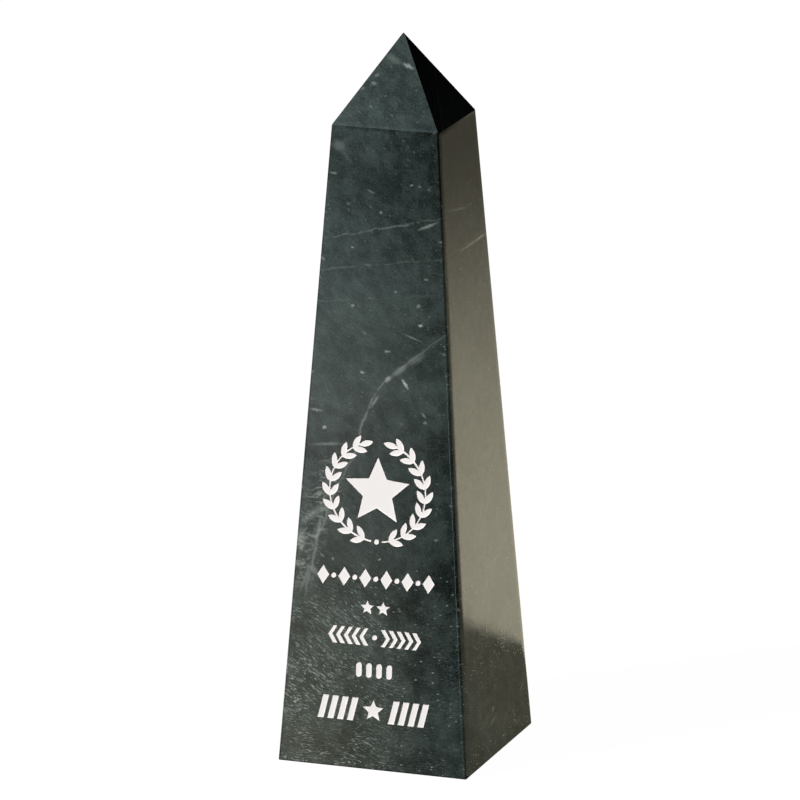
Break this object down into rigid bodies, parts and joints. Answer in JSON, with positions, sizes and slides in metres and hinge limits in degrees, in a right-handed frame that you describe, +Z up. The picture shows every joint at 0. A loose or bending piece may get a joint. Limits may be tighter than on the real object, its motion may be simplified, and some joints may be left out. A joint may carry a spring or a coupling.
{
  "type": "award obelisk",
  "caption": "Desk award cut from polished dark marble: a square tapered shaft with a pyramid point, its front face engraved with an enamel-filled wreath, star and ornament rows",
  "frame": {"origin": "centre of the square foot, on the surface that the award stands on", "axes": "+Z up to the tip of the point, -Y the way the engraved face looks, +X to the right of that face"},
  "size_m": [0.0696, 0.0696, 0.2538],
  "materials": {
    "marble": "polished, dark green-black with pale veins and flecks",
    "enamel": "matte off-white paint fill"
  },
  "bodies": {
    "root": {"obelisk": "marble", "wreath_left": "enamel", "wreath_right": "enamel", "wreath_knot": "enamel", "centre_star": "enamel", "lozenge_row": "enamel", "twin_stars": "enamel", "chevron_row": "enamel", "pill_row": "enamel", "slant_row": "enamel"}
  },
  "joints": []
}
